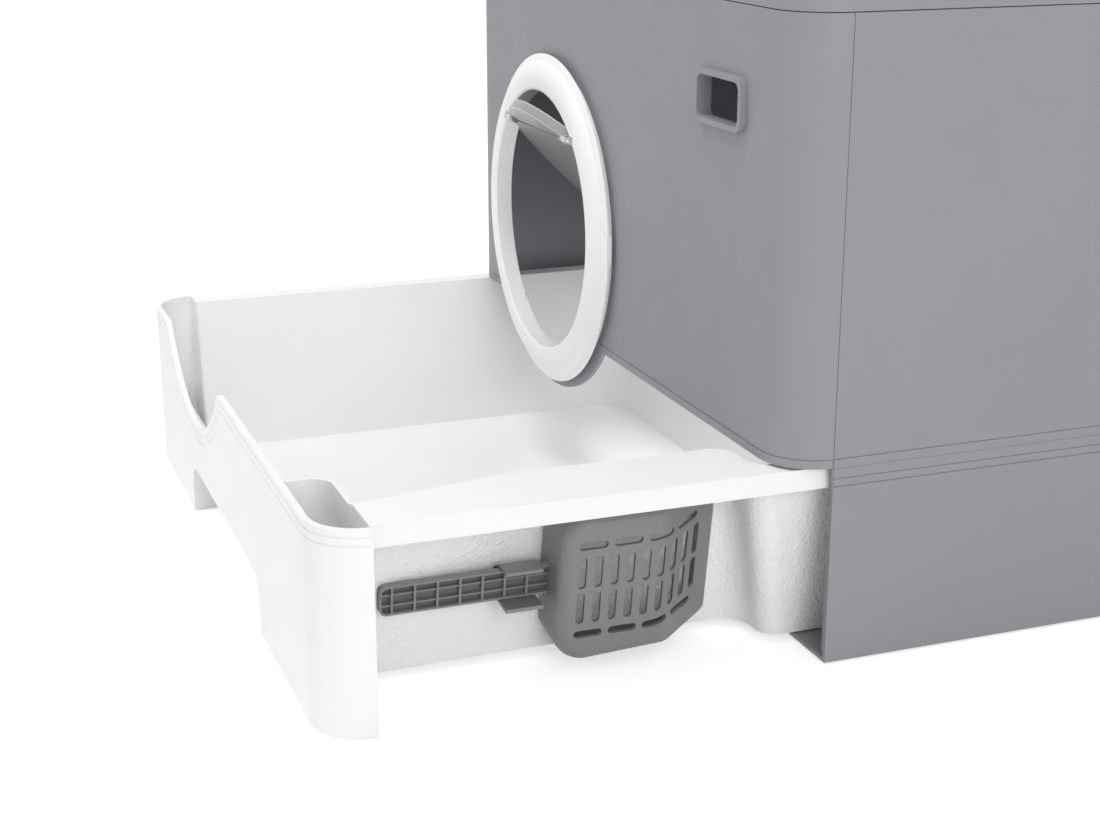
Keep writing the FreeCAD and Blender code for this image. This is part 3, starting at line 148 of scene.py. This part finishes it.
def overlaid(tree, shade, colour, share):
    """The shade, with the colour laid over it by a 0 to 1 share."""
    mix = tree.nodes.new("ShaderNodeMix")
    mix.data_type = "RGBA"
    mix.inputs["B"].default_value = colour + (1,)
    tree.links.new(shade, mix.inputs["A"])
    tree.links.new(share, mix.inputs["Factor"])
    return mix.outputs["Result"]


def bump(tree, height, strength, distance, normal=None):
    """A relief of the skin from a height, laid over an earlier relief where one is given."""
    relief = tree.nodes.new("ShaderNodeBump")
    relief.inputs["Strength"].default_value = strength
    relief.inputs["Distance"].default_value = distance
    tree.links.new(height, relief.inputs["Height"])
    if normal is not None:
        tree.links.new(normal, relief.inputs["Normal"])
    return relief.outputs["Normal"]


def part_place(tree):
    """The three coordinates of the point, in the object's own frame."""
    place = tree.nodes.new("ShaderNodeTexCoord")
    split = tree.nodes.new("ShaderNodeSeparateXYZ")
    tree.links.new(place.outputs["Object"], split.inputs["Vector"])
    return split.outputs


def facing(tree):
    """The three parts of the surface's true normal."""
    geometry = tree.nodes.new("ShaderNodeNewGeometry")
    split = tree.nodes.new("ShaderNodeSeparateXYZ")
    tree.links.new(geometry.outputs["True Normal"], split.inputs["Vector"])
    return split.outputs


def math_node(tree, operation, first, second):
    """One operation on two values, either of which may be a plain number."""
    node = tree.nodes.new("ShaderNodeMath")
    node.operation = operation
    for index, value in enumerate((first, second)):
        if isinstance(value, float):
            node.inputs[index].default_value = value
        else:
            tree.links.new(value, node.inputs[index])
    return node.outputs[0]


def moulded(name, colour, roughness, grain=900.0, grain_depth=0.00006, spread=0.012, waviness=0.10,
            rough_part=None, patch=None):
    """Injection-moulded plastic: fine grain, slow ripple of the skin and faint colour drift.

    rough_part masks the area with the mould's spark grain; patch is a painted-shade colour and the mask it
    is laid over.
    """
    material, tree, shader = new_material(name)
    drift = ramp(tree, noise(tree, DRIFT_SCALE, 2.0), 0.0, 1.0)
    shade = tinted(tree, colour, drift, spread)
    if patch is not None:
        patch_colour, patch_mask = patch
        shade = overlaid(tree, shade, patch_colour, patch_mask(tree))
    tree.links.new(shade, shader.inputs["Base Color"])
    sheen = ramp(tree, noise(tree, SHEEN_SCALE, 4.0), roughness - 0.04, roughness + 0.05)
    tree.links.new(sheen, shader.inputs["Roughness"])
    ripple = bump(tree, noise(tree, RIPPLE_SCALE, 1.0), waviness, RIPPLE_DEPTH)
    fine = bump(tree, noise(tree, grain, 2.0), 0.5, grain_depth, ripple)
    if rough_part is not None:
        spark = math_node(tree, "MULTIPLY", noise(tree, SPARK_SCALE, 2.0, 0.5), rough_part(tree))
        fine = bump(tree, spark, 1.0, SPARK_DEPTH, fine)
    tree.links.new(fine, shader.inputs["Normal"])
    shader.inputs["IOR"].default_value = PLASTIC_IOR
    return material


def recess_side(tree):
    """1 on the tub's outer walls in the scoop's recess, which keep the mould's spark grain."""
    x, y, z = part_place(tree)
    normal = facing(tree)
    outward = math_node(tree, "MAXIMUM", normal["X"], math_node(tree, "MULTIPLY", normal["Y"], -1.0))
    outer = math_node(tree, "GREATER_THAN", outward, OUTWARD_LEAST)
    beside = math_node(tree, "GREATER_THAN", x, RECESS_SIDE)
    behind = math_node(tree, "GREATER_THAN", y, RECESS_FRONT)
    below = math_node(tree, "LESS_THAN", z, SKIRT_LOW)
    within = math_node(tree, "MULTIPLY", behind, below)
    return math_node(tree, "MULTIPLY", outer, math_node(tree, "MULTIPLY", beside, within))


def offset_from(tree, point):
    """The place in the object's own frame, counted from a point."""
    place = tree.nodes.new("ShaderNodeTexCoord")
    offset = tree.nodes.new("ShaderNodeVectorMath")
    offset.operation = "SUBTRACT"
    offset.inputs[1].default_value = point
    tree.links.new(place.outputs["Object"], offset.inputs[0])
    return offset.outputs["Vector"]


def along(tree, vector, axis):
    """How far a vector reaches along an axis."""
    reach = tree.nodes.new("ShaderNodeVectorMath")
    reach.operation = "DOT_PRODUCT"
    reach.inputs[1].default_value = axis
    tree.links.new(vector, reach.inputs[0])
    return reach.outputs["Value"]


def handle_cells(tree):
    """1 on the sunken floor of the handle, between its ribs, where shade is painted."""
    offset = offset_from(tree, HANDLE_PLACE)
    deep = math_node(tree, "LESS_THAN", along(tree, offset, HANDLE_OUT), -CELL_DEPTH)
    aside = math_node(tree, "ABSOLUTE", along(tree, offset, HANDLE_UP), 0.0)
    inner = math_node(tree, "LESS_THAN", aside, CELL_HALF)
    before = math_node(tree, "LESS_THAN", along(tree, offset, (0.0, 1.0, 0.0)), HANDLE_END)
    return math_node(tree, "MULTIPLY", deep, math_node(tree, "MULTIPLY", inner, before))


def hinge_ears(tree):
    """1 on the two small ears inside the ring that hold the flap's pins, where shade is painted."""
    size = tree.nodes.new("ShaderNodeVectorMath")
    size.operation = "ABSOLUTE"
    tree.links.new(offset_from(tree, HINGE_PLACE), size.inputs[0])
    split = tree.nodes.new("ShaderNodeSeparateXYZ")
    tree.links.new(size.outputs["Vector"], split.inputs["Vector"])
    near = [math_node(tree, "LESS_THAN", split.outputs[index], HINGE_REACH[index]) for index in range(3)]
    return math_node(tree, "MULTIPLY", near[0], math_node(tree, "MULTIPLY", near[1], near[2]))


def rim_highlight_mask(tree):
    """Painted highlight mask: rises to 1 over the flap's outermost millimetre and a half."""
    place = tree.nodes.new("ShaderNodeTexCoord")
    reach = tree.nodes.new("ShaderNodeVectorMath")
    reach.operation = "DISTANCE"
    reach.inputs[1].default_value = FLAP_CENTRE
    tree.links.new(place.outputs["Object"], reach.inputs[0])
    return ramp(tree, reach.outputs["Value"], 0.0, 1.0, FLAP_RADIUS - RIM_HIGHLIGHT_START, FLAP_RADIUS - RIM_HIGHLIGHT_END)


def corner_highlight_mask(tree):
    """1 along the two corners of the flap's edge, where a painted highlight line is laid."""
    depth = along(tree, offset_from(tree, FLAP_MIDDLE), FLAP_NORMAL)
    aside = math_node(tree, "ABSOLUTE", depth, 0.0)
    corner = ramp(tree, aside, 0.0, 1.0, FLAP_HALF - CORNER_HIGHLIGHT_START, FLAP_HALF - CORNER_HIGHLIGHT_END)
    return math_node(tree, "MULTIPLY", corner, rim_highlight_mask(tree))


def smoke_plastic(name):
    """Translucent smoke-grey sheet with a painted highlight along its round edge."""
    material, tree, shader = new_material(name)
    drift = ramp(tree, noise(tree, SHEET_DRIFT_SCALE, 2.0), 0.0, 1.0)
    haze = ramp(tree, noise(tree, SHEET_HAZE_SCALE, 3.0), 0.28, 0.34)
    tree.links.new(haze, shader.inputs["Roughness"])
    # Painted highlight: a lighter rim and near-white corner lines over the smoke colour.
    rim = overlaid(tree, tinted(tree, SMOKE, drift, 0.03), SMOKE_RIM_HIGHLIGHT, rim_highlight_mask(tree))
    tree.links.new(overlaid(tree, rim, SMOKE_CORNER_HIGHLIGHT, corner_highlight_mask(tree)), shader.inputs["Base Color"])
    fine = bump(tree, noise(tree, SHEET_GRAIN_SCALE, 2.0), 0.1, SHEET_GRAIN_DEPTH)
    tree.links.new(fine, shader.inputs["Normal"])
    shader.inputs["Transmission Weight"].default_value = SHEET_CLEARNESS
    shader.inputs["IOR"].default_value = SHEET_IOR
    return material


def metal(name, colour, roughness):
    """Plated steel with a faint drift of colour and gloss."""
    material, tree, shader = new_material(name)
    drift = ramp(tree, noise(tree, METAL_DRIFT_SCALE, 3.0), 0.0, 1.0)
    tree.links.new(tinted(tree, colour, drift, 0.08), shader.inputs["Base Color"])
    sheen = ramp(tree, noise(tree, METAL_SHEEN_SCALE, 3.0), roughness, roughness + 0.15)
    tree.links.new(sheen, shader.inputs["Roughness"])
    shader.inputs["Metallic"].default_value = 1.0
    return material


MATERIALS = {
    "body_grey": moulded("BodyGrey", BODY_GREY, 0.55, waviness=0.05),
    # White plastic; its hinge ears inside the ring get painted shade.
    "white_plastic": moulded(
        "WhitePlastic", WHITE, 0.45, rough_part=recess_side, patch=(EAR_PAINTED_SHADE, hinge_ears)
    ),
    # Scoop grey plastic; its handle cells get painted shade.
    "scoop_grey": moulded("ScoopGrey", SCOOP_GREY, 0.50, grain=1400.0, patch=(CELL_PAINTED_SHADE, handle_cells)),
    "smoke_flap": smoke_plastic("SmokeFlap"),
    "screw_steel": metal("ScrewSteel", (0.55, 0.55, 0.56), 0.3),
    "pad_rubber": moulded("PadRubber", (0.05, 0.05, 0.05), 0.7, grain=600.0),
}


def dress_nodes():
    """Gives every CAD node the procedural material of its slot."""
    for part in frame["record"]["subparts"]:
        thing = nodes[part["node"]]
        thing.data.materials.clear()
        thing.data.materials.append(MATERIALS[part["material_slot"]])


dress_nodes()


# --- Stage, light and camera --------------------------------------------------------------------------


def seen_directly(tree):
    """1 for rays that show the background: from the camera, in gloss or through glass."""
    path = tree.nodes.new("ShaderNodeLightPath")
    first = tree.nodes.new("ShaderNodeMath")
    first.operation = "MAXIMUM"
    second = tree.nodes.new("ShaderNodeMath")
    second.operation = "MAXIMUM"
    tree.links.new(path.outputs["Is Camera Ray"], first.inputs[0])
    tree.links.new(path.outputs["Is Glossy Ray"], first.inputs[1])
    tree.links.new(first.outputs[0], second.inputs[0])
    tree.links.new(path.outputs["Is Transmission Ray"], second.inputs[1])
    return second.outputs[0]


def make_floor():
    """Pale floor that shows white where it is lit and keeps a soft shadow."""
    mesh = bpy.data.meshes.new("Floor")
    half = FLOOR_SIZE / 2
    corners = [(-half, -half, 0), (half, -half, 0), (half, half, 0), (-half, half, 0)]
    mesh.from_pydata(corners, [], [(0, 1, 2, 3)])
    floor = bpy.data.objects.new("Floor", mesh)
    bpy.context.scene.collection.objects.link(floor)
    floor.location = (0, 0, -FLOOR_DROP)
    material, tree, shader = new_material("FloorPale")
    shader.inputs["Base Color"].default_value = (FLOOR_SHADE, FLOOR_SHADE, FLOOR_SHADE, 1)
    shader.inputs["Roughness"].default_value = 0.9
    shader.inputs["Specular IOR Level"].default_value = 0.0
    shader.inputs["Emission Color"].default_value = (1, 1, 1, 1)
    lift = tree.nodes.new("ShaderNodeMath")
    lift.operation = "MULTIPLY"
    lift.inputs[1].default_value = FLOOR_LIFT
    tree.links.new(seen_directly(tree), lift.inputs[0])
    tree.links.new(lift.outputs[0], shader.inputs["Emission Strength"])
    mesh.materials.append(material)


def make_world():
    """White behind everything, and an even soft fill."""
    world = bpy.data.worlds.new("Studio")
    bpy.context.scene.world = world
    world.use_nodes = True
    tree = world.node_tree
    tree.nodes.clear()
    output = tree.nodes.new("ShaderNodeOutputWorld")
    background = tree.nodes.new("ShaderNodeBackground")
    mapper = tree.nodes.new("ShaderNodeMapRange")
    mapper.inputs["To Min"].default_value = FILL_STRENGTH
    mapper.inputs["To Max"].default_value = BACKDROP_STRENGTH
    tree.links.new(seen_directly(tree), mapper.inputs["Value"])
    tree.links.new(mapper.outputs["Result"], background.inputs["Strength"])
    background.inputs["Color"].default_value = (1, 1, 1, 1)
    tree.links.new(background.outputs["Background"], output.inputs["Surface"])


def area_light(name, place, target, size, power, spread=180):
    """A round soft lamp at a place, aimed at a target and kept out of the camera's sight."""
    light = bpy.data.lights.new(name, "AREA")
    light.shape = "DISK"
    light.size = size
    light.energy = power
    light.spread = math.radians(spread)
    holder = bpy.data.objects.new(name, light)
    bpy.context.scene.collection.objects.link(holder)
    holder.location = place
    holder.rotation_euler = (Vector(target) - Vector(place)).to_track_quat("-Z", "Y").to_euler()
    holder.visible_camera = False


def make_camera():
    """The camera, by its measured place, heading and lens."""
    camera = bpy.data.cameras.new("Camera")
    camera.lens = CAMERA_LENS
    camera.sensor_width = SENSOR_WIDTH
    camera.sensor_fit = "HORIZONTAL"
    camera.clip_start = 0.01
    camera.clip_end = 50.0
    holder = bpy.data.objects.new("Camera", camera)
    bpy.context.scene.collection.objects.link(holder)
    level = math.cos(CAMERA_ELEVATION)
    east = math.sin(CAMERA_AZIMUTH) * level
    south = -math.cos(CAMERA_AZIMUTH) * level
    back = Vector((east, south, math.sin(CAMERA_ELEVATION)))
    holder.location = CAMERA_PLACE
    holder.rotation_euler = (-back).to_track_quat("-Z", "Y").to_euler()
    bpy.context.scene.camera = holder


make_floor()
make_world()
area_light("KeyLight", (2.9, -0.4, 1.0), (0.1, -0.3, 0.1), size=1.8, power=30)
area_light("TopLight", (-0.4, -0.9, 2.6), (0, -0.3, 0.0), size=1.0, power=27)
area_light("FrontLight", (-0.3, -3.0, 1.3), (0, -0.3, 0.1), size=1.8, power=6)
area_light("CabinLight", (0.0, 0.0, 0.37), (-0.03, -0.04, 0.0), size=0.25, power=0.50, spread=85)
make_camera()
bpy.context.scene.view_settings.view_transform = "Standard"
